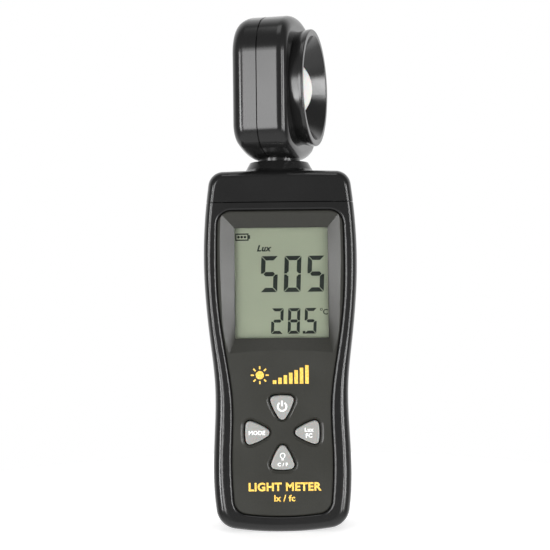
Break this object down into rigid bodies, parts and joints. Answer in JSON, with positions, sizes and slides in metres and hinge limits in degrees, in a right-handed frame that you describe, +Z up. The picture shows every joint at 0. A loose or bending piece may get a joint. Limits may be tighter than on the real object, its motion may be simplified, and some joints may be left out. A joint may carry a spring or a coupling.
{
  "type": "light meter",
  "caption": "Pocket light meter with a display window, a cross of keys and a swivelling sensor head with a white dome in a funnel.",
  "frame": {"origin": "middle of the flat foot at the bottom end of the case, on the swivel axis of the sensor head", "axes": "+Z up along the case, the display and keys face -Y, +X to the right of a viewer who faces the display"},
  "size_m": [0.05, 0.0455, 0.1692],
  "materials": {
    "case_black": "glossy moulded black plastic",
    "panel_grey": "fine matte dark grey",
    "clear_window": "clear acrylic",
    "display": "reflective display cell",
    "white_plastic": "moulded white plastic",
    "rubber_black": "silicone rubber",
    "board_green": "glass-fibre circuit board",
    "chip_black": "moulded epoxy",
    "steel": "zinc plated",
    "nickel": "nickel plated spring steel",
    "bead_resin": "dipped resin",
    "cell_jacket": "printed cell jacket",
    "key_grey": "satin grey key caps",
    "bezel_black": "satin black",
    "spindle_black": "acetal",
    "dome_white": "opal diffusing plastic",
    "filter_green": "colour correction glass"
  },
  "bodies": {
    "case": {"front_case": "case_black", "rear_case": "case_black", "top_cap": "case_black", "face_panel": "panel_grey", "lcd_window": "clear_window", "lcd_glass": "display", "lcd_frame": "white_plastic", "lcd_backlight": "white_plastic", "swivel_washer": "white_plastic", "zebra_strip": "rubber_black", "keypad_mat": "rubber_black", "sensor_lead": "rubber_black", "main_board": "board_green", "board_chips": "chip_black", "lead_connector": "chip_black", "board_screws": "steel", "case_screws": "steel", "key_domes": "steel", "battery_springs": "nickel", "battery_plates": "nickel", "thermistor": "bead_resin", "cell_left": "cell_jacket", "cell_centre": "cell_jacket", "cell_right": "cell_jacket"},
    "sensor_head": {"head_front_shell": "case_black", "head_rear_shell": "case_black", "sensor_bezel": "bezel_black", "diffuser_dome": "dome_white", "filter_glass": "filter_green", "photodiode": "chip_black", "sensor_board": "board_green", "head_screws": "steel", "swivel_spindle": "spindle_black", "swivel_clip": "steel", "stop_collar": "spindle_black"},
    "power_key": {"power_key": "key_grey"},
    "mode_key": {"mode_key": "key_grey"},
    "unit_key": {"unit_key": "key_grey"},
    "light_key": {"light_key": "key_grey"},
    "battery_door": {"battery_door": "case_black"}
  },
  "joints": [
    {"name": "head_swivel", "type": "hinge", "parent": "case", "child": "sensor_head", "pos_m": [0, 0, 0.119], "axis": [0, 0, 1], "range_deg": [-212, 61]},
    {"name": "power_key_press", "type": "slide", "parent": "case", "child": "power_key", "axis": [0, 1, 0], "range_m": [0, 0.0005], "stiffness_N_per_m": 400},
    {"name": "mode_key_press", "type": "slide", "parent": "case", "child": "mode_key", "axis": [0, 1, 0], "range_m": [0, 0.0005], "stiffness_N_per_m": 400},
    {"name": "unit_key_press", "type": "slide", "parent": "case", "child": "unit_key", "axis": [0, 1, 0], "range_m": [0, 0.0005], "stiffness_N_per_m": 400},
    {"name": "light_key_press", "type": "slide", "parent": "case", "child": "light_key", "axis": [0, 1, 0], "range_m": [0, 0.0005], "stiffness_N_per_m": 400},
    {"name": "battery_door_tilt", "type": "hinge", "parent": "case", "child": "battery_door", "pos_m": [0, 0.0139, 0.01315], "axis": [-1, 0, 0], "range_deg": [0, 70]}
  ]
}
